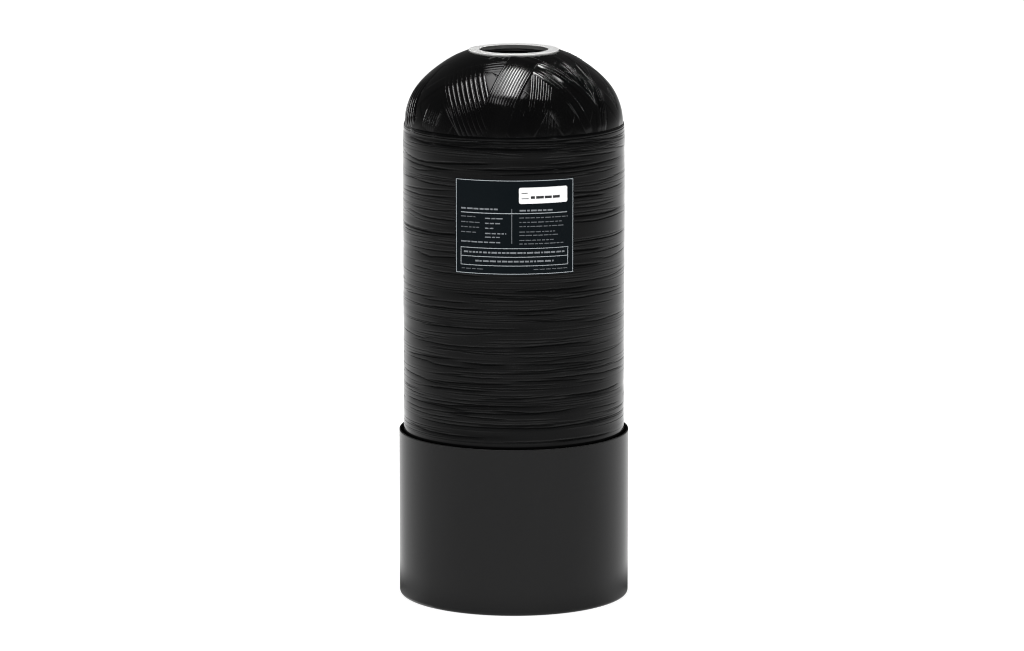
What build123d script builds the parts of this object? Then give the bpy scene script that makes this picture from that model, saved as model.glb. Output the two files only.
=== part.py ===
from build123d import *
import os
from math import cos, hypot, pi, sin

# Fibreglass filter tank, 7 x 17 inch class, standing in its moulded boot.
# Millimetres, +Z along the tank axis, origin on the floor under the centre,
# rating label on the -Y side.

# ---- driving dimensions -------------------------------------------------
overall_h = 451.0        # floor to the top face of the white ring
shell_r = 90.5           # outside of the hoop winding
hoop_t = 1.2             # hoop winding build-up on the straight wall
polar_t = 1.6            # helical winding build-up on the straight wall
polar_neck_t = 3.6       # helical build-up where the tows turn at the neck
liner_t = 3.0            # moulded liner wall
shoulder_z = 378.0       # where the top dome springs from the straight wall
heel_z = 78.0            # where the bottom dome springs from the straight wall
pole_z = 8.0             # lowest point of the wound tank
seam_z = 391.6           # top edge of the hoop winding
hoop_taper_z = 372.0     # the hoop winding thins out above this height

neck_r = 36.8            # outside of neck and ring, inside of the polar opening
neck_top_z = 446.9       # top face of the liner's neck, under the ring
ring_bore_r = 27.9       # plain lead-in bore of the white ring
thread_minor_r = 25.394  # crest radius of the 1 3/4 in parallel pipe thread
thread_len = 27.0        # threaded length, neck face to sleeve end
sleeve_r = 31.6          # outside of the neck sleeve inside the tank
thread_lead = 1.6        # chamfer at the first thread

boot_r = 94.1            # outside of the boot
boot_h = 137.5           # boot rim above the floor
boot_wall = 3.1          # skirt wall below the rim chamfer
boot_land = 1.0          # width of the flat on top of the rim
boot_lead = 6.5          # depth of the lead-in chamfer inside the rim
boot_floor_t = 3.0       # floor plate
foot_lift = 2.0          # floor plate is raised this much inside the foot ring
foot_in_r = 82.0         # inside of the foot ring
boot_fillet = 2.6        # rounding round the foot
rib_count = 12
rib_t = 2.6              # cradle ribs
rib_top_z = 46.0         # ribs stop here on the dome's flank
hub_r = 24.0             # ring that ties the ribs together
hub_t = 2.6

label_t = 0.25           # printed sheet
label_left = -49.2       # along the arc from the front line
label_right = 50.5
label_z0 = 280.1
label_z1 = 357.2
sticker_t = 0.15         # paper sticker
sticker_l = 40.5
sticker_h = 13.1
sticker_arc = 24.27      # centre of the sticker along the arc
sticker_z = 344.55
sticker_turn = 0.5       # degrees, stuck on a little crooked
sticker_round = 1.6

polar_r = shell_r - hoop_t
liner_r = polar_r - polar_t
liner_in_r = liner_r - liner_t

# ---- meridian curves ----------------------------------------------------
# outside of the helical winding over the top dome, shoulder to neck
top_outer = [
    (polar_r, shoulder_z), (88.95, 391.0), (87.85, 399.5), (85.3, 408.3),
    (80.9, 417.2), (74.6, 425.2), (67.1, 432.2), (59.3, 438.1),
    (51.4, 443.1), (43.8, 446.9), (neck_r + 0.9, 449.3),
]
# outside of the helical winding over the bottom dome, heel to pole
bottom_outer = [
    (polar_r, heel_z), (88.5, 64.0), (85.6, 51.0), (80.9, 40.6),
    (74.3, 31.9), (66.3, 25.0), (57.0, 19.3), (46.6, 14.9),
    (35.0, 11.6), (22.0, 9.2), (9.0, 8.15), (0.0, pole_z),
]


def inset(points, t_start, t_end):
    """Points moved to the inside of a meridian by a thickness that changes
    evenly along it. The first point keeps its height; a last point on the
    axis stays on the axis."""
    run = [0.0]
    for a, b in zip(points, points[1:]):
        run.append(run[-1] + hypot(b[0] - a[0], b[1] - a[1]))
    out = []
    for i, (r, z) in enumerate(points):
        t = t_start + (t_end - t_start) * run[i] / run[-1]
        p = points[max(i - 1, 0)]
        q = points[min(i + 1, len(points) - 1)]
        dr, dz = q[0] - p[0], q[1] - p[1]
        n = hypot(dr, dz)
        if i == 0:
            out.append((r - t, z))
        elif r < 0.01:
            out.append((0.0, z + t))
        else:
            side = 1.0 if dz > 0 else -1.0
            out.append((r - side * t * dz / n, z + side * t * dr / n))
    return out


def hold_radius(points, radius):
    """Curve ends moved along to an exact radius."""
    (r0, z0), (r1, z1) = points[-2], points[-1]
    k = (radius - r0) / (r1 - r0)
    return points[:-1] + [(radius, z0 + k * (z1 - z0))]


liner_top = hold_radius(inset(top_outer, polar_t, polar_neck_t), neck_r)
liner_bottom = inset(bottom_outer, polar_t, polar_t + 0.6)
cavity_top = inset(liner_top, liner_t, liner_t + 0.6)
cavity_top = [p for p in cavity_top if p[0] > sleeve_r + 7.0]
cavity_bottom = inset(liner_bottom, liner_t, liner_t)
sleeve_bottom_z = neck_top_z - thread_len


def top_curve(points, end):
    return Spline(*points, tangents=[(0, 1), end])


def bottom_curve(points):
    return Spline(*points, tangents=[(0, -1), (-1, 0)])


end_outer = (-0.94, 0.34)
end_liner = (-0.94, 0.34)
end_cavity = (-0.90, 0.44)

# ---- liner: one moulded vessel with its threaded neck -------------------
with BuildPart() as liner:
    with BuildSketch(Plane.XZ):
        with BuildLine():
            Line((thread_minor_r + thread_lead, neck_top_z), (neck_r, neck_top_z))
            Line((neck_r, neck_top_z), liner_top[-1])
            top_curve(liner_top, end_liner)
            Line(liner_top[0], liner_bottom[0])
            bottom_curve(liner_bottom)
            Line(liner_bottom[-1], cavity_bottom[-1])
            bottom_curve(cavity_bottom)
            Line(cavity_bottom[0], cavity_top[0])
            top_curve(cavity_top, end_cavity)
            Line(cavity_top[-1], (sleeve_r, cavity_top[-1][1] - 1.5))
            Line((sleeve_r, cavity_top[-1][1] - 1.5), (sleeve_r, sleeve_bottom_z))
            Line((sleeve_r, sleeve_bottom_z), (thread_minor_r, sleeve_bottom_z))
            Line((thread_minor_r, sleeve_bottom_z), (thread_minor_r, neck_top_z - thread_lead))
            Line((thread_minor_r, neck_top_z - thread_lead), (thread_minor_r + thread_lead, neck_top_z))
        make_face()
    revolve(axis=Axis.Z)
liner.part.label = "liner"

# ---- neck ring: white moulded ring on the neck, lead-in for the valve ---
with BuildPart() as neck_ring:
    with BuildSketch(Plane.XY.offset(neck_top_z)):
        Circle(neck_r)
        Circle(ring_bore_r, mode=Mode.SUBTRACT)
    extrude(amount=overall_h - neck_top_z)
    rims = neck_ring.edges().filter_by(GeomType.CIRCLE).group_by(Axis.Z)[-1]
    fillet(rims.sort_by(SortBy.RADIUS)[-1:], radius=0.7)
    rims = neck_ring.edges().filter_by(GeomType.CIRCLE).group_by(Axis.Z)[-1]
    fillet(rims.sort_by(SortBy.RADIUS)[:1], radius=0.4)
neck_ring.part.label = "neck_ring"

# ---- helical winding: tows from pole to pole over the whole liner -------
with BuildPart() as helical_winding:
    with BuildSketch(Plane.XZ):
        with BuildLine():
            Line(liner_top[-1], (neck_r, 449.0))
            Line((neck_r, 449.0), top_outer[-1])
            top_curve(top_outer, end_outer)
            Line(top_outer[0], bottom_outer[0])
            bottom_curve(bottom_outer)
            Line(bottom_outer[-1], liner_bottom[-1])
            bottom_curve(liner_bottom)
            Line(liner_bottom[0], liner_top[0])
            top_curve(liner_top, end_liner)
        make_face()
    revolve(axis=Axis.Z)
helical_winding.part.label = "helical_winding"

# ---- hoop winding: circumferential tows on the straight wall ------------
with BuildPart() as hoop_winding:
    with BuildSketch(Plane.XZ):
        with BuildLine():
            Polyline((80.0, seam_z), (80.0, 72.0), (shell_r - 0.8, 72.0),
                     (shell_r, 73.5), (shell_r, hoop_taper_z))
            Spline((shell_r, hoop_taper_z), (90.36, 380.0), (90.05, 387.0),
                   (89.72, 390.2), tangents=[(0, 1), (-0.2, 1)])
            Spline((89.72, 390.2), (89.45, 391.15), (88.9, seam_z),
                   tangents=[(-0.2, 1), (-1, 0)])
            Line((88.9, seam_z), (80.0, seam_z))
        make_face()
    revolve(axis=Axis.Z)
    with BuildSketch(Plane.XZ):
        with BuildLine():
            Line((0, pole_z), (0, 449.0))
            Line((0, 449.0), (neck_r, 449.0))
            Line((neck_r, 449.0), top_outer[-1])
            top_curve(top_outer, end_outer)
            Line(top_outer[0], bottom_outer[0])
            bottom_curve(bottom_outer)
        make_face()
    revolve(axis=Axis.Z, mode=Mode.SUBTRACT)
hoop_winding.part.label = "hoop_winding"

# ---- base boot: skirt, floor, foot ring and cradle ribs in one moulding --
boot_in_r = boot_r - boot_wall
floor_top_z = foot_lift + boot_floor_t
with BuildPart() as base_boot:
    with BuildSketch(Plane.XZ):
        with BuildLine():
            Polyline((0, foot_lift), (foot_in_r - 1.5, foot_lift), (foot_in_r, 0),
                     (boot_r, 0), (boot_r, boot_h), (boot_r - boot_land, boot_h),
                     (boot_in_r, boot_h - boot_lead), (boot_in_r, floor_top_z),
                     (0, floor_top_z), (0, foot_lift))
        make_face()
    revolve(axis=Axis.Z)
    with BuildSketch(Plane.XY.offset(floor_top_z)):
        Circle(hub_r)
        Circle(hub_r - hub_t, mode=Mode.SUBTRACT)
    extrude(amount=15.0 - floor_top_z)
    with BuildSketch(Plane.XY.offset(floor_top_z)):
        with PolarLocations((hub_r - 1.0 + boot_in_r + 1.0) / 2, rib_count, start_angle=15):
            Rectangle(boot_in_r + 1.0 - (hub_r - 1.0), rib_t)
    extrude(amount=rib_top_z - floor_top_z)
    with BuildSketch(Plane.XZ):
        with BuildLine():
            Line((0, pole_z), (0, 200.0))
            Line((0, 200.0), (polar_r, 200.0))
            Line((polar_r, 200.0), bottom_outer[0])
            bottom_curve(bottom_outer)
        make_face()
    revolve(axis=Axis.Z, mode=Mode.SUBTRACT)
    low = base_boot.edges().filter_by(GeomType.CIRCLE).group_by(Axis.Z)[0]
    fillet(low.sort_by(SortBy.RADIUS)[-1:], radius=boot_fillet)
    high = base_boot.edges().filter_by(GeomType.CIRCLE).group_by(Axis.Z)[-1]
    fillet(high.sort_by(SortBy.RADIUS)[-1:], radius=0.45)
base_boot.part.label = "base_boot"

# ---- rating label: thin printed sheet bonded to the front ---------------
label_out_r = shell_r + label_t
left_deg = label_left / label_out_r * 180 / pi
right_deg = label_right / label_out_r * 180 / pi
with BuildPart() as rating_label:
    with BuildSketch(Plane.XZ):
        with Locations(((shell_r + label_out_r) / 2, (label_z0 + label_z1) / 2)):
            Rectangle(label_t, label_z1 - label_z0)
    revolve(axis=Axis.Z, revolution_arc=right_deg - left_deg)
    # turned so that the sheet is centred near the -Y line
    start = rating_label.part.rotate(Axis.Z, -90 + left_deg)
    add(start, mode=Mode.REPLACE)
rating_label.part.label = "rating_label"

# ---- paper sticker on the label -----------------------------------------
sticker_out_r = label_out_r + sticker_t
sticker_mid = sticker_arc / sticker_out_r
sticker_plane = Plane(
    origin=(sticker_out_r * sin(sticker_mid), -sticker_out_r * cos(sticker_mid), sticker_z),
    x_dir=(cos(sticker_mid), sin(sticker_mid), 0),
    z_dir=(sin(sticker_mid), -cos(sticker_mid), 0),
)
chord = 2 * sticker_out_r * sin(sticker_l / 2 / sticker_out_r)
with BuildPart() as paper_sticker:
    with BuildSketch(Plane.XY.offset(sticker_z - 15)):
        Circle(sticker_out_r)
        Circle(label_out_r, mode=Mode.SUBTRACT)
    extrude(amount=30)
    with BuildSketch(sticker_plane.offset(2)):
        with Locations(Rotation(0, 0, sticker_turn)):
            RectangleRounded(chord, sticker_h, sticker_round)
    extrude(amount=-12, mode=Mode.INTERSECT)
paper_sticker.part.label = "paper_sticker"

# ---- one file per piece -------------------------------------------------
os.makedirs("parts", exist_ok=True)
export_step(liner.part, "parts/liner.step")
export_step(neck_ring.part, "parts/neck_ring.step")
export_step(helical_winding.part, "parts/helical_winding.step")
export_step(hoop_winding.part, "parts/hoop_winding.step")
export_step(base_boot.part, "parts/base_boot.step")
export_step(rating_label.part, "parts/rating_label.step")
export_step(paper_sticker.part, "parts/paper_sticker.step")
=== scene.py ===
import math

import bpy
import numpy as np
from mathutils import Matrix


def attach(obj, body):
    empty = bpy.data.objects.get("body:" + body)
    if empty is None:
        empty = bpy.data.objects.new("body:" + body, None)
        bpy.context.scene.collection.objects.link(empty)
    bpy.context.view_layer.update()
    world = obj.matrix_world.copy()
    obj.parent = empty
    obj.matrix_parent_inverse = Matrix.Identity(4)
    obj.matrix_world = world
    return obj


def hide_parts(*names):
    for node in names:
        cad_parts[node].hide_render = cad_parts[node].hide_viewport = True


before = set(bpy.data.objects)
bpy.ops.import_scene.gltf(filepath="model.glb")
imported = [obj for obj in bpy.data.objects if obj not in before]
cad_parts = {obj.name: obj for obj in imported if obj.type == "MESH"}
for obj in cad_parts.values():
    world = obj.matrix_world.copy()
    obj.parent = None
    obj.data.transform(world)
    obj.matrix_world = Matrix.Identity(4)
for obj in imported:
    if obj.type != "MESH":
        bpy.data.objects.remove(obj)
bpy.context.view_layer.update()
MM = 0.001
rng = np.random.default_rng(71217)


# ---- small helpers -------------------------------------------------------
def smooth(a, b, x):
    t = np.clip((np.asarray(x, float) - a) / (b - a), 0.0, 1.0)
    return t * t * (3 - 2 * t)


def mesh_piece(name, verts_mm, faces, material, replaces=(), shade=True):
    mesh = bpy.data.meshes.new(name)
    mesh.from_pydata((np.asarray(verts_mm) * MM).tolist(), [], faces)
    mesh.validate()
    mesh.update()
    obj = bpy.data.objects.new(name, mesh)
    bpy.context.scene.collection.objects.link(obj)
    mesh.polygons.foreach_set("use_smooth", [shade] * len(mesh.polygons))
    mesh.materials.append(material)
    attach(obj, "root")
    if replaces:
        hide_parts(*replaces)
    return obj


def ring_grid(radii, heights, angles, wrap_rows):
    """A surface of revolution whose radius and height change with the angle.
    radii and heights are rows x columns. Rows run along the section."""
    rows, cols = radii.shape
    x = radii * np.sin(angles)[None, :]
    y = -radii * np.cos(angles)[None, :]
    verts = np.stack([x, y, heights], axis=-1).reshape(-1, 3)
    faces = []
    last = rows if wrap_rows else rows - 1
    for i in range(last):
        a = i * cols
        b = ((i + 1) % rows) * cols
        for j in range(cols):
            k = (j + 1) % cols
            faces.append((a + j, a + k, b + k, b + j))
    return verts, faces


# ---- materials -----------------------------------------------------------
def new_material(name):
    mat = bpy.data.materials.new(name)
    mat.use_nodes = True
    nt = mat.node_tree
    bsdf = nt.nodes["Principled BSDF"]
    return mat, nt, bsdf


def node(nt, kind, **props):
    n = nt.nodes.new(kind)
    for k, v in props.items():
        setattr(n, k, v)
    return n


def object_coords(nt, scale):
    tc = node(nt, "ShaderNodeTexCoord")
    mp = node(nt, "ShaderNodeMapping")
    mp.inputs["Scale"].default_value = scale
    nt.links.new(tc.outputs["Object"], mp.inputs["Vector"])
    return mp.outputs["Vector"]


def noise(nt, vector, scale, detail=3.0, rough=0.5):
    n = node(nt, "ShaderNodeTexNoise")
    n.inputs["Scale"].default_value = scale
    n.inputs["Detail"].default_value = detail
    n.inputs["Roughness"].default_value = rough
    nt.links.new(vector, n.inputs["Vector"])
    return n.outputs["Fac"]


def ramp(nt, value, lo, hi, a, b):
    m = node(nt, "ShaderNodeMapRange")
    m.clamp = True
    m.inputs["From Min"].default_value = lo
    m.inputs["From Max"].default_value = hi
    m.inputs["To Min"].default_value = a
    m.inputs["To Max"].default_value = b
    nt.links.new(value, m.inputs["Value"])
    return m.outputs["Result"]


def mix_colour(nt, fac, a, b):
    m = node(nt, "ShaderNodeMix", data_type="RGBA")
    m.inputs[6].default_value = (*a, 1)
    m.inputs[7].default_value = (*b, 1)
    nt.links.new(fac, m.inputs[0])
    return m.outputs[2]


def bump(nt, height, strength, distance, normal=None):
    b = node(nt, "ShaderNodeBump")
    b.inputs["Strength"].default_value = strength
    b.inputs["Distance"].default_value = distance
    nt.links.new(height, b.inputs["Height"])
    if normal is not None:
        nt.links.new(normal, b.inputs["Normal"])
    return b.outputs["Normal"]


def hoop_material():
    """Satin black resin: fine circumferential filaments under the gel."""
    mat, nt, b = new_material("hoop_resin")
    fine = noise(nt, object_coords(nt, (9, 9, 2600)), 1.0, 4, 0.6)
    broad = noise(nt, object_coords(nt, (14, 14, 150)), 1.0, 3, 0.5)
    spots = noise(nt, object_coords(nt, (60, 60, 60)), 1.0, 2, 0.5)
    # painted shade: the gloss coat is taken away down in the grooves, where they lie in shade; it is at 0.7 on the tows
    # and full along the tow edges
    shade_sheen_attr = node(nt, "ShaderNodeAttribute")
    shade_sheen_attr.attribute_name = "patchy_shade_and_sheen"
    coat = node(nt, "ShaderNodeMath", operation="ADD")
    nt.links.new(ramp(nt, shade_sheen_attr.outputs["Fac"], 0.0, 1.0, 0.70, 0.0), coat.inputs[0])
    nt.links.new(ramp(nt, shade_sheen_attr.outputs["Fac"], -1.0, 0.0, 1.0 - 0.70, 0.0), coat.inputs[1])
    nt.links.new(coat.outputs[0], b.inputs["Coat Weight"])
    b.inputs["Coat Roughness"].default_value = 0.13
    b.inputs["Specular IOR Level"].default_value = 0.06
    # and the base colour is paler along the edges of the tows: in part the fibre showing where the resin is thin, in
    # part a painted highlight for the shine along those edges
    pale_edge_and_sheen = node(nt, "ShaderNodeMix", data_type="RGBA")
    nt.links.new(ramp(nt, shade_sheen_attr.outputs["Fac"], -1.0, 0.0, 1.0, 0.0), pale_edge_and_sheen.inputs[0])
    nt.links.new(mix_colour(nt, broad, (0.0006, 0.0006, 0.0007), (0.0020, 0.0021, 0.0022)), pale_edge_and_sheen.inputs[6])
    pale_edge_and_sheen.inputs[7].default_value = (0.018, 0.018, 0.018, 1)
    nt.links.new(pale_edge_and_sheen.outputs[2], b.inputs["Base Color"])
    rough = node(nt, "ShaderNodeMath", operation="ADD")
    nt.links.new(ramp(nt, spots, 0.3, 0.7, 0.10, 0.18), rough.inputs[0])
    nt.links.new(ramp(nt, shade_sheen_attr.outputs["Fac"], 0.0, 1.0, 0.0, 0.3), rough.inputs[1])
    nt.links.new(rough.outputs[0], b.inputs["Roughness"])
    b.inputs["IOR"].default_value = 1.5
    n = bump(nt, broad, 0.7, 0.00022)
    n = bump(nt, fine, 0.30, 0.00007, n)
    nt.links.new(n, b.inputs["Normal"])
    return mat


def dome_material(name, seed):
    """Glossy black resin over helical tows."""
    mat, nt, b = new_material(name)
    fine = noise(nt, object_coords(nt, (420 + seed, 420, 420)), 1.0, 3, 0.6)
    wide = noise(nt, object_coords(nt, (45, 45, 45 + seed)), 1.0, 2, 0.5)
    nt.links.new(mix_colour(nt, wide, (0.0008, 0.0008, 0.0009), (0.0022, 0.0022, 0.0023)), b.inputs["Base Color"])
    nt.links.new(ramp(nt, wide, 0.3, 0.7, 0.08, 0.17), b.inputs["Roughness"])
    b.inputs["IOR"].default_value = 1.5
    nt.links.new(bump(nt, fine, 0.035, 0.00008), b.inputs["Normal"])
    return mat


def boot_material():
    """Satin black moulding with a faint flow pattern and a fine skin."""
    mat, nt, b = new_material("boot_moulding")
    skin = noise(nt, object_coords(nt, (1500, 1500, 1500)), 1.0, 2, 0.5)
    flow = noise(nt, object_coords(nt, (22, 22, 9)), 1.0, 3, 0.5)
    nt.links.new(mix_colour(nt, flow, (0.0090, 0.0090, 0.0091), (0.0115, 0.0115, 0.0117)), b.inputs["Base Color"])
    tc = node(nt, "ShaderNodeTexCoord")
    sp = node(nt, "ShaderNodeSeparateXYZ")
    nt.links.new(tc.outputs["Object"], sp.inputs[0])
    rough = node(nt, "ShaderNodeMath", operation="ADD")
    nt.links.new(ramp(nt, flow, 0.3, 0.7, 0.17, 0.21), rough.inputs[0])
    nt.links.new(ramp(nt, sp.outputs["Z"], 0.1362, 0.1372, 0.0, 0.35), rough.inputs[1])
    nt.links.new(rough.outputs[0], b.inputs["Roughness"])
    b.inputs["IOR"].default_value = 1.5
    nt.links.new(bump(nt, skin, 0.05, 0.00003), b.inputs["Normal"])
    return mat


def liner_material():
    mat, nt, b = new_material("liner_polyethylene")
    skin = noise(nt, object_coords(nt, (900, 900, 900)), 1.0, 2, 0.5)
    flow = noise(nt, object_coords(nt, (35, 35, 12)), 1.0, 3, 0.5)
    nt.links.new(mix_colour(nt, flow, (0.0035, 0.0035, 0.0038), (0.0055, 0.0055, 0.0060)), b.inputs["Base Color"])
    nt.links.new(ramp(nt, flow, 0.3, 0.7, 0.42, 0.5), b.inputs["Roughness"])
    b.inputs["Specular IOR Level"].default_value = 0.06
    nt.links.new(bump(nt, skin, 0.1, 0.00004), b.inputs["Normal"])
    return mat


def ring_material():
    """White moulded plastic, a little translucent."""
    mat, nt, b = new_material("ring_moulding")
    skin = noise(nt, object_coords(nt, (1200, 1200, 1200)), 1.0, 2, 0.5)
    flow = noise(nt, object_coords(nt, (70, 70, 70)), 1.0, 3, 0.5)
    # painted shade: the base colour is full white only on the top face; it is greyed down the rim and the bore below
    # it, where they lie in shade, and near black at the seat at the bottom
    tc = node(nt, "ShaderNodeTexCoord")
    sp = node(nt, "ShaderNodeSeparateXYZ")
    nt.links.new(tc.outputs["Object"], sp.inputs[0])
    ring_shade_ramp = node(nt, "ShaderNodeValToRGB")
    el = ring_shade_ramp.color_ramp.elements
    el[0].position, el[0].color = 0.0, (0.03, 0.03, 0.03, 1)
    el[1].position, el[1].color = 1.0, (1.0, 1.0, 1.0, 1)
    for p, c in ((0.17, 0.05), (0.22, 0.52), (0.84, 0.56), (0.93, 0.97)):
        e = el.new(p)
        e.color = (c, c, c, 1)
    nt.links.new(ramp(nt, sp.outputs["Z"], 0.4469, 0.4510, 0.0, 1.0), ring_shade_ramp.inputs[0])
    ring_shaded_colour = node(nt, "ShaderNodeMix", data_type="RGBA", blend_type="MULTIPLY")
    ring_shaded_colour.inputs[0].default_value = 1.0
    nt.links.new(mix_colour(nt, flow, (0.80, 0.80, 0.79), (0.84, 0.84, 0.83)), ring_shaded_colour.inputs[6])
    nt.links.new(ring_shade_ramp.outputs["Color"], ring_shaded_colour.inputs[7])
    nt.links.new(ring_shaded_colour.outputs[2], b.inputs["Base Color"])
    nt.links.new(ramp(nt, flow, 0.3, 0.7, 0.34, 0.42), b.inputs["Roughness"])
    nt.links.new(bump(nt, skin, 0.08, 0.00003), b.inputs["Normal"])
    return mat


def label_material():
    """Dark navy printed film with a soft sheen."""
    mat, nt, b = new_material("label_film")
    grain = noise(nt, object_coords(nt, (2200, 2200, 2200)), 1.0, 2, 0.5)
    wave = noise(nt, object_coords(nt, (30, 30, 60)), 1.0, 2, 0.5)
    nt.links.new(mix_colour(nt, wave, (0.0020, 0.0042, 0.0060), (0.0028, 0.0056, 0.0076)), b.inputs["Base Color"])
    nt.links.new(ramp(nt, wave, 0.3, 0.7, 0.30, 0.36), b.inputs["Roughness"])
    b.inputs["IOR"].default_value = 1.25
    nt.links.new(bump(nt, grain, 0.06, 0.00002), b.inputs["Normal"])
    return mat


def print_material(name, a, c, rough):
    mat, nt, b = new_material(name)
    f = noise(nt, object_coords(nt, (1800, 1800, 1800)), 1.0, 2, 0.5)
    nt.links.new(mix_colour(nt, f, a, c), b.inputs["Base Color"])
    nt.links.new(ramp(nt, f, 0.3, 0.7, rough, rough + 0.08), b.inputs["Roughness"])
    b.inputs["IOR"].default_value = 1.3
    return mat


def paper_material():
    mat, nt, b = new_material("sticker_paper")
    f = noise(nt, object_coords(nt, (2600, 2600, 2600)), 1.0, 3, 0.6)
    nt.links.new(mix_colour(nt, f, (0.90, 0.90, 0.90), (0.94, 0.94, 0.94)), b.inputs["Base Color"])
    nt.links.new(ramp(nt, f, 0.3, 0.7, 0.5, 0.62), b.inputs["Roughness"])
    nt.links.new(bump(nt, f, 0.1, 0.00003), b.inputs["Normal"])
    return mat


mat_hoop = hoop_material()
mat_dome = dome_material("dome_resin", 0)
mat_tows = dome_material("tow_resin", 7)
mat_boot = boot_material()
mat_liner = liner_material()
mat_ring = ring_material()
mat_label = label_material()
mat_print = print_material("label_print_grey", (0.33, 0.36, 0.38), (0.42, 0.45, 0.47), 0.45)
mat_print_dim = print_material("label_print_dim", (0.10, 0.11, 0.12), (0.15, 0.16, 0.17), 0.45)
mat_print_mid = print_material("label_print_mid", (0.17, 0.185, 0.20), (0.24, 0.255, 0.27), 0.45)
mat_paper = paper_material()
mat_ink = print_material("sticker_ink", (0.02, 0.02, 0.022), (0.05, 0.05, 0.052), 0.5)


def dress(node_name, material):
    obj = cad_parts[node_name]
    obj.data.materials.clear()
    obj.data.materials.append(material)
    return obj


dress("helical_winding", mat_dome)
dress("base_boot", mat_boot)
dress("neck_ring", mat_ring)
dress("rating_label", mat_label)
dress("paper_sticker", mat_paper)

# ---- meridian of the wound tank, as in the CAD ---------------------------
top_outer = [
    (89.3, 378.0), (88.95, 391.0), (87.85, 399.5), (85.3, 408.3),
    (80.9, 417.2), (74.6, 425.2), (67.1, 432.2), (59.3, 438.1),
    (51.4, 443.1), (43.8, 446.9), (37.7, 449.3),
]
bottom_outer = [
    (89.3, 78.0), (88.5, 64.0), (85.6, 51.0), (80.9, 40.6),
    (74.3, 31.9), (66.3, 25.0), (57.0, 19.3), (46.6, 14.9),
    (35.0, 11.6), (22.0, 9.2), (9.0, 8.15), (0.0, 8.0),
]


def natural_spline(points, start, end, count):
    """Cubic curve through points with end directions, sampled evenly in the
    chord parameter."""
    p = np.array(points, float)
    n = len(p)
    t = np.concatenate([[0], np.cumsum(np.hypot(*np.diff(p, axis=0).T))])
    h = np.diff(t)
    m = np.zeros((n, n))
    rhs = np.zeros((n, 2))
    m[0, 0] = m[-1, -1] = 1
    rhs[0], rhs[-1] = start, end
    for i in range(1, n - 1):
        m[i, i - 1] = h[i]
        m[i, i] = 2 * (h[i - 1] + h[i])
        m[i, i + 1] = h[i - 1]
        rhs[i] = 3 * (h[i] * (p[i] - p[i - 1]) / h[i - 1] + h[i - 1] * (p[i + 1] - p[i]) / h[i])
    d = np.linalg.solve(m, rhs)
    s = np.linspace(0, t[-1], count)
    k = np.clip(np.searchsorted(t, s, side="right") - 1, 0, n - 2)
    u = ((s - t[k]) / h[k])[:, None]
    hk = h[k][:, None]
    return ((1 + 2 * u) * (1 - u) ** 2 * p[k] + u * (1 - u) ** 2 * hk * d[k]
            + u * u * (3 - 2 * u) * p[k + 1] + u * u * (u - 1) * hk * d[k + 1])


def unit(v):
    v = np.array(v, float)
    return v / np.linalg.norm(v)


dome_line = natural_spline(top_outer, (0, 1), unit((-0.94, 0.34)), 900)
dome_run = np.concatenate([[0], np.cumsum(np.hypot(*np.diff(dome_line, axis=0).T))])
dome_dir = np.gradient(dome_line, axis=0)
dome_dir /= np.linalg.norm(dome_dir, axis=1)[:, None]
dome_norm = np.stack([dome_dir[:, 1], -dome_dir[:, 0]], axis=1)   # outward (r, z)


def on_dome(s):
    """r, z, outward normal (r, z) and direction (r, z) at run s."""
    s = np.clip(s, 0, dome_run[-1])
    out = [np.interp(s, dome_run, a) for a in (dome_line[:, 0], dome_line[:, 1], dome_norm[:, 0], dome_norm[:, 1], dome_dir[:, 0])]
    return out


def run_at_r(r):
    return float(np.interp(-r, -dome_line[:, 0], dome_run))
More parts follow.
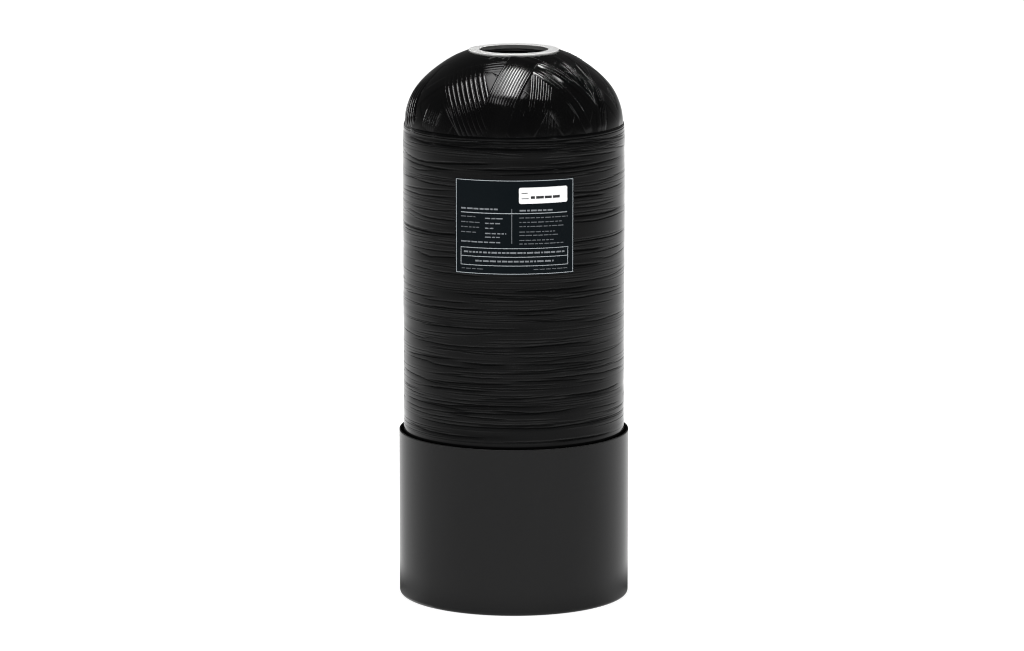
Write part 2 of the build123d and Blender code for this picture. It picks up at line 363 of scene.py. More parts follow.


# ---- hoop winding --------------------------------------------------------
# Grooves between the circumferential tows: ((depth, width, painted shade), [(degrees from the
# front line, height), ...]). The painted shade says how much gloss is taken away in the groove, where it lies in shade.
# The front ones follow the photographed object, the others continue the same pattern round the back.
D1, D2, D3 = (0.13, 1.0, 0.80), (0.22, 1.4, 1.0), (0.34, 2.1, 1.2)
front_grooves = [
    (D2, [(-74.4, 342.6), (-62.2, 343.7), (-49.1, 344.7), (-34.5, 346.3)]),
    (D2, [(-78.8, 339.0), (-65.6, 339.5), (-53.9, 339.2), (-46.9, 339.9), (-33.9, 340.7)]),
    (D1, [(-63.2, 328.3), (-47.0, 328.5), (-31.0, 330.4)]),
    (D2, [(-67.6, 325.0), (-53.2, 322.2), (-46.0, 321.9), (-31.0, 322.2)]),
    (D1, [(-78.5, 323.0), (-70.0, 321.8), (-59.3, 319.2), (-40.0, 318.3)]),
    (D3, [(-78.0, 310.9), (-53.3, 310.7), (-42.9, 310.3), (-31.0, 311.4)]),
    (D2, [(-78.4, 307.7), (-59.3, 307.9), (-41.0, 308.4)]),
    (D1, [(-78.4, 304.5), (-65.8, 304.5), (-50.3, 305.3)]),
    (D1, [(-59.3, 300.1), (-44.9, 301.2), (-31.0, 301.4)]),
    (D2, [(-64.1, 295.4), (-56.0, 295.5), (-42.9, 295.8), (-31.0, 296.7)]),
    (D3, [(-60.0, 292.3), (-48.7, 290.1), (-31.0, 292.3)]),
    (D1, [(-51.0, 283.9), (-40.0, 284.3), (-31.0, 283.8)]),
    (D2, [(-60.0, 279.9), (-51.0, 279.6)]),
    (D2, [(-43.0, 278.8), (-33.0, 278.9), (-20.0, 278.2)]),
    (D1, [(-57.0, 276.4), (-51.0, 276.0)]),
    (D1, [(31.0, 349.5), (44.3, 349.3), (58.4, 350.6)]),
    (D2, [(31.0, 345.5), (46.9, 343.9), (72.3, 344.9)]),
    (D3, [(31.0, 341.2), (41.0, 341.4), (50.0, 340.6)]),
    (D1, [(31.0, 337.9), (48.1, 337.4), (59.9, 336.5)]),
    (D1, [(31.0, 335.1), (49.7, 334.6), (59.9, 334.8)]),
    (D2, [(31.0, 332.5), (46.9, 331.4), (60.7, 332.4)]),
    (D1, [(31.0, 327.9), (49.8, 328.2), (71.9, 325.8)]),
    (D3, [(31.0, 325.9), (48.5, 325.1), (67.4, 325.3)]),
    (D2, [(31.0, 321.3), (47.0, 320.2), (56.5, 320.9), (71.9, 321.6)]),
    (D2, [(31.0, 304.8), (48.7, 305.0), (60.8, 304.7), (80.2, 305.3)]),
    (D3, [(31.0, 298.0), (47.0, 297.3)]),
    (D2, [(31.0, 294.0), (49.8, 294.2), (72.3, 295.1)]),
    (D2, [(47.0, 289.3), (56.6, 287.6), (79.7, 290.0)]),
    (D3, [(31.0, 285.7), (46.6, 284.7)]),
    (D2, [(28.0, 272.2), (44.5, 272.0), (59.3, 272.2), (78.4, 274.3)]),
    (D1, [(20.0, 276.0), (38.0, 275.4)]),
    (D1, [(50.0, 278.0), (70.0, 277.2)]),
    (D1, [(-78.7, 257.1), (-67.9, 258.5)]),
    (D2, [(-71.2, 256.2), (-62.5, 256.9), (-51.7, 257.2), (-47.2, 257.8)]),
    (D1, [(-79.9, 249.5), (-68.0, 249.8), (-57.4, 249.5), (-49.9, 249.5)]),
    (D2, [(-52.0, 249.4), (-41.1, 250.4), (-28.0, 250.5), (-20.1, 251.4)]),
    (D2, [(-51.7, 254.9), (-47.2, 255.0), (-36.5, 255.5), (-26.7, 256.0)]),
    (D2, [(-27.1, 263.5), (-15.6, 263.5), (-3.0, 262.8)]),
    (D1, [(-18.0, 261.3), (-1.0, 261.4)]),
    (D1, [(-15.6, 257.5), (-4.0, 257.6)]),
    (D1, [(-37.4, 246.8), (-29.6, 247.1), (-20.1, 247.1), (-6.0, 247.6)]),
    (D2, [(-51.7, 234.1), (-36.5, 235.4), (-20.1, 235.4), (-3.0, 235.8)]),
    (D1, [(-61.9, 225.9), (-51.8, 226.3), (-40.2, 226.4)]),
    (D1, [(-54.2, 228.4), (-36.5, 229.4), (-22.0, 230.6), (-9.0, 233.0)]),
    (D2, [(-80.3, 223.5), (-69.2, 223.1), (-61.9, 222.4), (-54.8, 222.2), (-50.6, 223.4)]),
    (D2, [(-61.9, 219.8), (-50.0, 220.1), (-36.5, 219.6), (-28.0, 219.8), (-18.2, 220.1), (-4.0, 220.8)]),
    (D1, [(-47.3, 215.8), (-36.5, 216.4), (-28.0, 216.3), (-20.1, 215.3), (-2.0, 215.0)]),
    (D1, [(-16.0, 216.9), (-3.0, 217.4)]),
    (D3, [(-67.2, 206.8), (-51.8, 208.1), (-43.2, 208.3), (-34.5, 209.0)]),
    (D2, [(-66.3, 204.1), (-58.3, 204.2), (-50.1, 204.2), (-45.2, 202.7), (-36.6, 202.6), (-22.1, 202.7)]),
    (D3, [(-24.0, 206.8), (-14.5, 206.3), (-8.0, 206.6)]),
    (D2, [(-77.5, 190.8), (-66.4, 190.2), (-56.9, 189.5), (-50.1, 188.0), (-39.3, 187.4)]),
    (D2, [(-45.2, 189.1), (-36.6, 189.4), (-24.0, 190.1), (-5.0, 190.9)]),
    (D2, [(-49.6, 183.5), (-40.3, 184.3), (-30.1, 184.4), (-16.4, 184.6)]),
    (D1, [(-74.4, 179.2), (-67.4, 178.6)]),
    (D1, [(-41.2, 195.4), (-31.3, 196.9)]),
    (D3, [(5.0, 266.8), (19.3, 267.2), (31.2, 267.2), (37.7, 267.6)]),
    (D2, [(27.0, 264.4), (35.5, 263.7), (44.9, 263.7), (55.2, 262.7), (68.7, 261.7)]),
    (D1, [(4.0, 262.5), (15.5, 262.1), (22.3, 260.7)]),
    (D1, [(4.0, 260.6), (14.0, 260.0), (22.3, 258.7)]),
    (D2, [(27.1, 259.5), (35.5, 259.0), (46.5, 259.4), (56.5, 259.2), (70.9, 259.1)]),
    (D2, [(0.0, 250.4), (20.8, 251.0), (27.3, 251.7), (39.1, 251.3)]),
    (D2, [(2.0, 247.5), (19.7, 247.3)]),
    (D1, [(26.3, 248.7), (37.7, 248.4), (47.1, 247.2)]),
    (D1, [(46.5, 252.8), (57.2, 252.2)]),
    (D2, [(14.1, 241.9), (23.1, 241.3), (37.3, 240.7)]),
    (D2, [(38.7, 238.5), (44.0, 238.1), (50.4, 237.9), (60.1, 238.8), (72.3, 238.8)]),
    (D1, [(31.2, 244.3), (41.5, 243.1), (50.4, 242.5)]),
    (D1, [(23.1, 225.6), (31.2, 226.5), (40.1, 226.7), (48.8, 226.4)]),
    (D3, [(3.0, 221.0), (15.5, 221.7), (25.1, 221.9), (31.2, 222.2), (40.1, 221.5)]),
    (D1, [(31.2, 219.6), (46.6, 218.5), (56.0, 219.0)]),
    (D1, [(4.0, 215.4), (21.2, 215.2)]),
    (D2, [(2.0, 212.8), (15.5, 212.3), (27.1, 211.9), (35.6, 212.0), (44.0, 212.4)]),
    (D2, [(6.0, 209.0), (19.3, 209.1), (27.1, 210.1), (38.3, 210.4), (50.5, 211.0), (62.6, 211.5), (72.5, 212.6)]),
    (D2, [(5.0, 207.0), (17.4, 206.1), (25.1, 206.1), (35.6, 206.0), (42.6, 204.9)]),
    (D1, [(26.3, 203.9), (37.8, 203.8), (49.4, 204.3), (56.7, 204.3)]),
    (D2, [(17.4, 195.2), (29.6, 195.1), (42.6, 195.1), (50.6, 193.9), (60.3, 194.1), (72.6, 193.7)]),
    (D2, [(4.0, 193.2), (21.2, 192.9), (33.4, 192.2)]),
    (D1, [(39.2, 189.4), (50.6, 188.4)]),
    (D1, [(68.1, 199.0), (80.1, 198.9)]),
    (D3, [(31.3, 179.7), (42.6, 179.2), (56.8, 179.4), (66.2, 180.3)]),
    (D1, [(64.1, 255.4), (76.5, 254.2)]),
    (D2, [(-50.4, 170.3), (-35.5, 170.4), (-21.5, 171.9), (-2.0, 172.5), (15.7, 172.1)]),
    (D2, [(-69.5, 169.6), (-44.7, 169.2), (-28.3, 167.9)]),
    (D2, [(-5.8, 168.7), (9.5, 166.8), (23.8, 167.3), (29.8, 168.3)]),
    (D1, [(-34.6, 165.0), (-13.5, 166.5)]),
    (D2, [(-61.8, 155.7), (-44.7, 155.0), (-30.1, 154.7), (-16.7, 154.8), (-2.0, 154.7), (17.3, 154.3), (34.4, 155.2), (56.7, 155.2), (79.8, 154.4)]),
    (D2, [(-65.4, 148.4), (-50.5, 146.3), (-34.6, 146.0), (-17.5, 146.2)]),
    (D2, [(23.9, 143.4), (39.2, 143.2), (56.8, 142.8)]),
    (D1, [(17.3, 177.2), (34.4, 177.6), (56.7, 176.8)]),
    (D1, [(-13.5, 178.1), (1.8, 178.6), (17.3, 180.3)]),
    (D1, [(-28.3, 163.3), (-21.6, 162.7), (-8.5, 162.0)]),
    (D1, [(-72.0, 176.0), (-55.0, 175.2)]),
    (D1, [(-70.0, 164.5), (-52.0, 163.8)]),
    (D1, [(-66.0, 161.0), (-48.0, 160.2), (-34.0, 160.6)]),
    (D1, [(46.0, 166.4), (66.0, 165.6)]),
    (D1, [(58.0, 160.6), (76.0, 160.9)]),
    (D3, [(-77.1, 370.9), (-71.8, 369.1), (-60.1, 367.3), (-49.9, 366.9), (-34.3, 368.5), (-13.4, 370.2)]),
    (D3, [(-73.2, 364.8), (-60.1, 363.7), (-49.9, 363.3), (-34.3, 363.0)]),
    (D2, [(-64.3, 359.7), (-59.3, 359.0), (-45.3, 360.7)]),
    (D3, [(-21.4, 364.8), (-9.6, 365.3), (0.6, 365.1), (11.2, 365.0), (27.5, 365.5), (41.7, 365.8), (56.9, 366.7), (70.5, 366.9)]),
    (D1, [(-56.4, 355.6), (-47.0, 355.9), (-38.1, 355.5)]),
    (D2, [(-79.5, 351.1), (-64.4, 351.8), (-54.3, 350.6), (-47.0, 350.1), (-31.3, 350.0)]),
    (D2, [(-27.6, 385.9), (-15.4, 386.8)]),
    (D3, [(-23.4, 382.1), (-13.4, 382.5), (0.6, 382.0), (11.1, 381.9), (21.6, 381.8)]),
    (D3, [(-66.4, 384.2), (-52.3, 382.8), (-43.1, 383.2), (-29.8, 382.6)]),
    (D1, [(-15.4, 378.6), (0.6, 376.5)]),
    (D2, [(-8.4, 361.2), (15.1, 362.0), (32.0, 361.6), (47.2, 362.4), (64.2, 361.5)]),
    (D1, [(0.7, 387.3), (10.8, 387.4)]),
    (D2, [(16.7, 387.4), (24.1, 387.4)]),
    (D2, [(27.5, 385.5), (41.7, 384.2), (56.8, 382.5)]),
    (D2, [(41.7, 386.7), (56.8, 385.0), (78.1, 383.2)]),
    (D2, [(32.9, 378.7), (44.4, 377.3)]),
    (D3, [(36.7, 373.9), (47.2, 373.5), (62.4, 372.7)]),
    (D2, [(50.2, 377.9), (59.1, 376.8), (80.6, 373.9)]),
    (D1, [(19.1, 374.0), (30.2, 374.1)]),
    (D2, [(21.6, 368.9), (32.0, 369.3), (38.7, 369.3)]),
    (D1, [(32.9, 358.2), (41.8, 358.6)]),
    (D2, [(43.9, 359.5), (53.4, 359.0), (63.3, 359.8)]),
    (D2, [(52.2, 352.0), (60.5, 352.6), (69.4, 353.6)]),
    (D1, [(53.4, 380.4), (65.1, 378.6)]),
]

COLS, ROWS = 112, 860
z_low, z_high = 141.0, 391.0
hoop_angles = np.linspace(-math.pi, math.pi, COLS, endpoint=False)
hoop_deg = np.degrees(hoop_angles)
hoop_z = np.linspace(z_low, z_high, ROWS)
wall_r = natural_spline([(90.5, 372.0), (90.36, 380.0), (90.05, 387.0), (89.72, 390.2)], (0, 1), unit((-0.2, 1)), 120)
base_r = np.interp(hoop_z, wall_r[:, 1], wall_r[:, 0], left=90.5)
base_r = np.where(hoop_z > 390.2, 89.72 - (hoop_z - 390.2) * 0.29, base_r)
field = np.zeros((ROWS, COLS))
patchy_shade_and_sheen = np.zeros((ROWS, COLS))
lip_sheen = np.zeros((ROWS, COLS))


def cut_groove(depth, width, groove_shade, pts, lean=0.24, fade=5.0, ring=False):
    """A groove along pts: a short drop below the upper tow, then a longer
    rise on to the lower one. A ring runs all round and has no ends."""
    p = np.array(sorted(pts), float)
    if p[0, 1] < 205.0 and not ring:
        width, groove_shade = width * 1.1, groove_shade * 1.3
    for j, a in enumerate(hoop_deg):
        d = a
        if p[0, 0] < -180 and a > 0 and not ring:
            d = a - 360
        if p[-1, 0] > 180 and a < 0 and not ring:
            d = a + 360
        if not ring and (d < p[0, 0] - fade or d > p[-1, 0] + fade):
            continue
        zc = np.interp(d, p[:, 0], p[:, 1]) + (0.0 if ring else 0.12 * math.sin(d * 0.9 + p[0, 1]))
        ends = 1.0 if ring else smooth(p[0, 0] - fade, p[0, 0] + fade, d) * smooth(-p[-1, 0] - fade, -p[-1, 0] + fade, -d)
        wobble = 0.8 + 0.2 * math.sin(math.radians(d) * 20 + p[0, 1] * 1.7)
        u = (hoop_z - zc) / width
        up = np.clip(1 - u / lean, 0, 1)
        down = np.clip(1 + u / (1 - lean), 0, 1)
        shape = np.where(u > 0, up, down * down * (3 - 2 * down))
        cut = -depth * ends * wobble * shape
        field[:, j] = np.minimum(field[:, j], cut)
        taper = 1.0 if ring else math.sqrt(max(0.0, math.sin(math.pi * min(1.0, max(0.0, (d - p[0, 0] + fade) / (p[-1, 0] - p[0, 0] + 2 * fade))))))
        # painted shade down the groove (core, and a wider halo under the deep ones), and beside it the lip sheen along
        # the tow edge (crest), partly painted highlight
        core = np.exp(-(((hoop_z - zc + 0.12) / ((0.20 + 0.22 * width) * (0.55 + 0.5 * taper))) ** 4))
        halo = 0.34 * np.exp(-(((hoop_z - zc + 0.7 * width) / (0.9 * width)) ** 2)) if groove_shade > 0.9 else 0.0
        reach = (0.20 + 0.22 * width) * (0.55 + 0.5 * taper)
        crest = np.exp(-(((np.abs(hoop_z - zc + 0.12) - reach - 0.55) / 0.42) ** 2)) * np.where(hoop_z > zc, 1.0, 0.75)
        lip_sheen[:, j] = np.maximum(lip_sheen[:, j], min(1.0, 1.1 * groove_shade) * min(1.0, 1.35 * taper) * wobble * crest)
        patchy_shade_and_sheen[:, j] = np.maximum(patchy_shade_and_sheen[:, j], np.minimum(1.0, groove_shade * min(1.0, 1.35 * taper) * (0.9 + 0.3 * (wobble - 0.8)) * np.maximum(core, halo)))


# the tows pass over each other: long gentle steps and hollows
for k in range(90):
    zc = rng.uniform(146, 388)
    wide = rng.uniform(1.6, 6.0)
    amp = -rng.uniform(0.012, 0.030) * wide
    mid = rng.uniform(-180, 180)
    half = rng.uniform(40, 150)
    drift = rng.uniform(-0.02, 0.02)
    gap = (hoop_deg - mid + 180) % 360 - 180
    zz = zc + gap * drift
    wgt = smooth(half, half * 0.6, np.abs(gap))
    field += amp * wgt[None, :] * np.exp(-((hoop_z[:, None] - zz[None, :]) / wide) ** 2)
field = np.minimum(field, 0.0)

for (depth, width, groove_shade), pts in front_grooves:
    cut_groove(depth, width, groove_shade, pts)

# the same kind of groove round the back, where the photograph doesn't show it
z_now = 144.0
while z_now < 388.0:
    members = rng.integers(1, 4)
    mid = rng.uniform(100, 260)
    for m in range(members):
        z0 = z_now + m * rng.uniform(1.8, 3.6)
        a0 = mid + rng.uniform(-70, -15)
        a1 = mid + rng.uniform(15, 75)
        a0, a1 = max(a0, 84.0), min(a1, 276.0)
        slope = rng.uniform(-0.018, 0.018)
        steps = np.linspace(a0, a1, 6)
        zs = z0 + (steps - a0) * slope + rng.normal(0, 0.25, 6)
        depth, width, groove_shade = (D1, D2, D2, D3)[rng.integers(0, 4)]
        cut_groove(depth, width, groove_shade, list(zip(steps, zs)))
        cut_groove(depth, width, groove_shade, list(zip(steps - 360, zs)))
    z_now += rng.uniform(2.6, 6.4)

# hairlines between the filaments, everywhere
for k in range(330):
    a0 = rng.uniform(-180, 170)
    a1 = a0 + rng.uniform(12, 60)
    z0 = rng.uniform(143, 389)
    slope = rng.uniform(-0.012, 0.012)
    pts = [(a0, z0), ((a0 + a1) / 2, z0 + (a1 - a0) / 2 * slope), (a1, z0 + (a1 - a0) * slope)]
    cut_groove(rng.uniform(0.03, 0.09), 0.75, rng.uniform(0.10, 0.75), pts, fade=7.0)

# plainer seams between the photographed ones, and dull smears where the resin
# has run thin
for k in range(120):
    a0 = rng.uniform(-180, 150)
    a1 = a0 + rng.uniform(14, 50)
    z0 = rng.uniform(146, 384)
    slope = rng.uniform(-0.02, 0.02)
    steps = np.linspace(a0, a1, 5)
    cut_groove(0.11, 0.9, rng.uniform(0.45, 0.9), list(zip(steps, z0 + (steps - a0) * slope + rng.normal(0, 0.2, 5))), fade=8.0)
for k in range(150):
    mid = rng.uniform(-180, 180)
    half = rng.uniform(8, 34)
    zc = rng.uniform(144, 386)
    wide = rng.uniform(0.8, 2.6)
    gap = (hoop_deg - mid + 180) % 360 - 180
    wgt = smooth(half, half * 0.2, np.abs(gap))
    smear = rng.uniform(0.08, 0.30) * wgt[None, :] * np.exp(-((hoop_z[:, None] - (zc + gap * rng.uniform(-0.02, 0.02))[None, :]) / wide) ** 2)
    patchy_shade_and_sheen = np.maximum(patchy_shade_and_sheen, smear)

# the turned edge of the winding: two or three ridges under the top, and the
# clear line where the wall meets the boot
for zc, dep, wid, groove_shade in ((390.4, 0.22, 1.0, 1.0), (388.3, 0.26, 1.2, 0.7), (385.6, 0.22, 1.5, 0.45)):
    pts = [(a, zc + 0.35 * math.sin(math.radians(a) * 2 + zc) + 0.2 * math.sin(math.radians(a) * 5 + zc * 3)) for a in range(-184, 185, 8)]
    cut_groove(dep, wid, groove_shade, pts, ring=True)
pts = [(a, 142.4 + 0.15 * math.sin(math.radians(a) * 3)) for a in range(-184, 185, 8)]
cut_groove(0.12, 0.8, 0.4, pts, ring=True)

radii = base_r[:, None] + field
heights = np.repeat(hoop_z[:, None], COLS, axis=1)


def plain_rows(points):
    pts = np.array(points, float)
    return (np.repeat(pts[:, :1], COLS, axis=1), np.repeat(pts[:, 1:], COLS, axis=1))


top_rows = plain_rows([(89.3, 391.35), (89.0, 391.58), (88.7, 391.6)])
inner = [(88.78, 391.5)]
inner += [(float(np.interp(z, [378.0, 391.0], [89.3, 88.95])) - 0.15, z) for z in (388.0, 384.0, 380.0)]
inner += [(89.15, 376.0), (89.15, 200.0), (89.15, 80.0), (89.0, 72.0)]
inner_rows = plain_rows(inner)
low_rows = plain_rows([(89.7, 72.0), (90.5, 73.5), (90.5, 110.0), (90.5, 135.0), (90.5, 138.9), (90.45, 139.5), (90.45, 140.3)])
verts, faces = ring_grid(
    np.vstack([radii, top_rows[0], inner_rows[0], low_rows[0]]),
    np.vstack([heights, top_rows[1], inner_rows[1], low_rows[1]]),
    hoop_angles, True)
hoop_obj = mesh_piece("hoop_tows", verts, faces, mat_hoop, replaces=("hoop_winding",))
# painted shade: the gloss is taken off the top edge of the wall, so the edge stays dark instead of catching the light
patchy_shade_and_sheen = np.maximum(patchy_shade_and_sheen, 0.9 * smooth(389.9, 390.6, hoop_z)[:, None])
# painted shade: no gloss on the rows over the top edge and inside the wall
edge_and_inside_shade = np.ones((len(top_rows[0]) + len(inner_rows[0]), COLS))
# painted shade: no gloss on the band of wall just above the boot's rim, the dark line where the wall goes into the boot
last = np.repeat(smooth(110.0, 135.0, low_rows[1][:, :1]) * smooth(139.5, 138.9, low_rows[1][:, :1]), COLS, axis=1)
# the lip sheen goes in as negative values: fuller gloss and a paler base colour along the tow edges, partly painted
# highlight
patchy_shade_and_sheen = patchy_shade_and_sheen - lip_sheen * smooth(0.45, 0.10, patchy_shade_and_sheen) * (0.75 + 0.25 * smooth(250.0, 330.0, hoop_z))[:, None]
att = hoop_obj.data.attributes.new("patchy_shade_and_sheen", "FLOAT", "POINT")
att.data.foreach_set("value", np.vstack([patchy_shade_and_sheen, edge_and_inside_shade, last]).astype(np.float32).ravel())

# ---- dome tows -----------------------------------------------------------
# Each band of tows lies on a geodesic: r * sin(angle from the meridian) stays
# the same along it. It starts under the hoop winding and ends at the neck,
# or turns round the neck and comes down again.


def geodesic(phi0, r_at, alpha, lean):
    """Points (run, phi) each way from a place on the dome. alpha is the angle
    from the meridian there, in radians; lean +1 turns towards +X going up."""
    s0 = run_at_r(r_at)
    ways = []
    for sign in (1, -1):
        s, ph, al = s0, phi0, (lean * alpha) if sign > 0 else (lean * alpha + math.pi)
        pts = [(s, ph)]
        step = 0.75
        for _ in range(420):
            r, z, nr, nz, dr = on_dome(s)
            # midpoint step
            for half in (0,):
                ds = math.cos(al) * step / 2
                dp = math.sin(al) / r * step / 2
                da = -math.sin(al) * dr / r * step / 2
            r2, _, _, _, dr2 = on_dome(s + ds)
            al2 = al + da
            s += math.cos(al2) * step
            ph += math.sin(al2) / r2 * step
            al += -math.sin(al2) * dr2 / r2 * step
            if s < 2.0 or s > dome_run[-1] - 0.6:
                pts.append((max(min(s, dome_run[-1]), 2.0), ph))
                break
            pts.append((s, ph))
        ways.append(pts)
    line = ways[1][::-1] + ways[0][1:]
    return np.array(line), len(ways[1]) - 1


def place(s, phi, h):
    r, z, nr, nz, _ = on_dome(s)
    rr = r + nr * h
    return np.stack([rr * np.sin(phi), -rr * np.cos(phi), z + nz * h], axis=-1)


def band(line, width, pitch, ridge, layer, patches, seed, fine=True, step=1.9):
    """A closed ribbon of rounded tows on the dome. patches: (middle, half
    length, share) of the stretches where the tows stand out, in mm along the
    band from the place that defines it."""
    line, start = line
    g = np.random.default_rng(seed)
    seg = np.concatenate([[0], np.cumsum(np.linalg.norm(np.diff(place(line[:, 0], line[:, 1], 0), axis=0), axis=1))])
    n = max(6, int(seg[-1] / (step if fine else 2.6)))
    t = np.linspace(0, seg[-1], n)
    s = np.interp(t, seg, line[:, 0])
    ph = np.interp(t, seg, line[:, 1])
    centre = place(s, ph, 0)
    r, z, nr, nz, _ = on_dome(s)
    normal = np.stack([nr * np.sin(ph), -nr * np.cos(ph), nz], axis=-1)
    tangent = np.gradient(centre, axis=0)
    tangent /= np.linalg.norm(tangent, axis=1)[:, None]
    side = np.cross(tangent, normal)
    side /= np.linalg.norm(side, axis=1)[:, None]
    tows = max(2, int(round(width / pitch)))
    steps = np.array([-1.0, -0.93, -0.72, -0.38, 0.0, 0.38, 0.72, 0.93] if fine else [-1.0, -0.65, 0.0, 0.65])
    per = len(steps)
    across = tows * per + 1
    u = np.concatenate([np.tile(steps, tows), [-1.0]])
    b = (np.arange(across) // per + (u + 1) / 2) * (width / tows) - width / 2
    round_top = np.sqrt(np.clip(1 - u * u, 0, 1))
    tow_gain = g.uniform(0.6, 1.0, tows + 1)[np.minimum(np.arange(across) // per, tows)]
    edge = smooth(width / 2, width / 2 - pitch * 0.7, np.abs(b))
    verts = []
    wander = 0.25 * np.sin(t / g.uniform(14, 26) + g.uniform(0, 6))
    # along the band: the resin drowns the tows here and there
    along = np.zeros(n)
    for c, w, a in patches:
        along = np.maximum(along, a * np.exp(-(((t - seg[start]) - c) / w) ** 4))
    near_neck = smooth(40.0, 50.0, r)
    # thin where the hoop winding laps over it, and against the neck
    tuck = (0.1 + 0.9 * smooth(391.0, 396.0, z)) * (0.06 + 0.94 * smooth(38.5, 45.0, r))
    sink = smooth(386.0, 428.0, z) if layer > 0.6 else np.ones(n)
    skin = 0.02 + 0.0030 * (seed % 37)
    for i in range(n):
        off = b + wander[i] * (1 - np.abs(b) / width)
        p = centre[i][None, :] + off[:, None] * side[i][None, :]
        rho = np.hypot(p[:, 0], p[:, 1])
        phi = np.arctan2(p[:, 0], -p[:, 1])
        # back on to the dome
        d2 = (dome_line[None, ::6, 0] - rho[:, None]) ** 2 + (dome_line[None, ::6, 1] - p[:, 2][:, None]) ** 2
        run = dome_run[::6][np.argmin(d2, axis=1)]
        k = np.clip(np.searchsorted(dome_run, run), 1, len(dome_run) - 2)
        run = run + (rho - dome_line[k, 0]) * dome_dir[k, 0] + (p[:, 2] - dome_line[k, 1]) * dome_dir[k, 1]
        end = min(t[i], seg[-1] - t[i])
        lift = layer * edge * sink[i]
        h = (lift + ridge * round_top * tow_gain * along[i] * near_neck[i]) * tuck[i] + skin
        top = place(run, phi, h)
        verts.append(top)
        low = place(run[[-1, 0]], phi[[-1, 0]], -0.35)
        verts[-1] = np.vstack([top, low])
    m = across + 2
    verts = np.vstack(verts)
    faces = []
    for i in range(n - 1):
        a, c = i * m, (i + 1) * m
        for j in range(m):
            k = (j + 1) % m
            faces.append((a + j, a + k, c + k, c + j))
    faces.append(tuple(range(m))[::-1])
    faces.append(tuple((n - 1) * m + j for j in range(m)))
    return verts, faces


def deg(a):
    return math.radians(a)


# front bands: angle round the dome, radius there, angle from the meridian,
# lean, width, tow pitch, ridge height, layer, patches of clear tows
front_bands = [
    # low layer
    (-74.0, 86.3, 18.0, -1, 24.0, 4.8, 1.20, 0.36, [(0, 26, 1.0)]),
    (-50.0, 86.5, 12.0, 1, 16.0, 2.6, 0.50, 0.05, [(-2, 9, 0.8)]),
    (-31.0, 86.0, 39.0, -1, 16.0, 2.7, 0.50, 0.12, [(0, 18, 0.9)]),
    (78.0, 84.0, 24.0, 1, 20.0, 2.6, 0.30, 0.06, [(6, 14, 0.6)]),
    (20.3, 87.0, 7.1, 1, 9.0, 2.6, 0.36, 0.06, [(0, 12, 0.8)]),
    (3.5, 87.0, 13.3, 1, 8.0, 3.0, 0.26, 0.03, [(4, 8, 0.6)]),
    # middle
    (-28.8, 77.3, 30.0, -1, 36.0, 4.0, 1.15, 0.14, [(0, 30, 1.0)]),
    (-21.5, 53.0, 72.0, 1, 14.0, 3.4, 0.34, 0.36, [(0, 18, 1.0)]),
    (17.6, 76.2, 16.5, 1, 21.0, 2.2, 0.42, 0.12, [(0, 19, 1.0)]),
    (51.0, 64.0, 0.5, 1, 8.0, 4.0, 0.95, 0.42, [(2, 14, 1.0)]),
    (58.7, 79.8, 15.0, 1, 8.0, 2.6, 0.90, 0.50, [(0, 17, 1.0)]),
    (26.2, 66.2, 31.5, -1, 11.0, 3.6, 0.90, 0.60, [(-2, 12, 1.0)]),
    (33.5, 57.0, 34.0, -1, 11.0, 3.7, 1.00, 0.76, [(-2, 12, 1.0)]),
    # on top
    (-3.2, 69.0, 19.0, 1, 26.0, 2.3, 0.12, 1.25, [(0, 26, 1.0)]),
]

groups = {"dome_tows_" + side: ([], [], 0) for side in ("front", "left", "back", "right", "under_front", "under_back")}


def add_band(group, data):
    v, f, n = groups[group]
    verts, faces = data
    v.append(verts)
    f.extend(tuple(i + n for i in face) for face in faces)
    groups[group] = (v, f, n + len(verts))


# under layer all round, both leans, seeded
seed = 100
for k in range(34):
    lean = 1 if k % 2 else -1
    phi = deg(k * 360 / 34 + rng.uniform(-4, 4))
    r_at = rng.uniform(66, 84)
    r0 = rng.uniform(26, 50)
    alpha = math.asin(min(0.95, r0 / r_at))
    a = (math.degrees(phi) + 180) % 360 - 180
    calm = 0.10 if -100 < a < 100 else 1.0
    patches = [(rng.uniform(-45, 30), rng.uniform(12, 32), rng.uniform(0.5, 1.0) * calm) for _ in range(2)]
    data = band(geodesic(phi, r_at, alpha, lean), rng.uniform(17, 24), rng.uniform(2.1, 2.9),
                rng.uniform(0.22, 0.42), rng.uniform(0.02, 0.06), patches, seed + k, fine=calm > 0.5, step=2.2)
    add_band("dome_tows_under_front" if abs(a) <= 90 else "dome_tows_under_back", data)

for k, (a, r_at, al, lean, width, pitch, ridge, layer, patches) in enumerate(front_bands):
    data = band(geodesic(deg(a), r_at, deg(al), lean), width, pitch, ridge, layer, patches, 500 + k)
    where = "dome_tows_front" if abs(a) <= 45 else ("dome_tows_right" if a > 0 else "dome_tows_left")
    add_band(where, data)

# upper layer on the sides and back
for k in range(18):
    a = 95 + k * 170 / 17 + rng.uniform(-5, 5)
    a = (a + 180) % 360 - 180
    lean = 1 if k % 2 else -1
    r_at = rng.uniform(66, 84)
    r0 = rng.uniform(20, 56)
    alpha = math.asin(min(0.95, r0 / r_at))
    calm = 0.15 if abs(a) < 125 else 1.0
    patches = [(rng.uniform(-45, 30), rng.uniform(14, 34), rng.uniform(0.7, 1.0) * calm) for _ in range(2)]
    data = band(geodesic(deg(a), r_at, alpha, lean), rng.uniform(15, 24), rng.uniform(1.9, 2.9),
                rng.uniform(0.32, 0.58), rng.uniform(0.18, 0.36), patches, 800 + k)
    where = "dome_tows_back" if abs(a) > 135 else ("dome_tows_right" if a > 0 else "dome_tows_left")
    add_band(where, data)

for name, (v, f, n) in groups.items():
    mesh_piece(name, np.vstack(v), f, mat_tows)

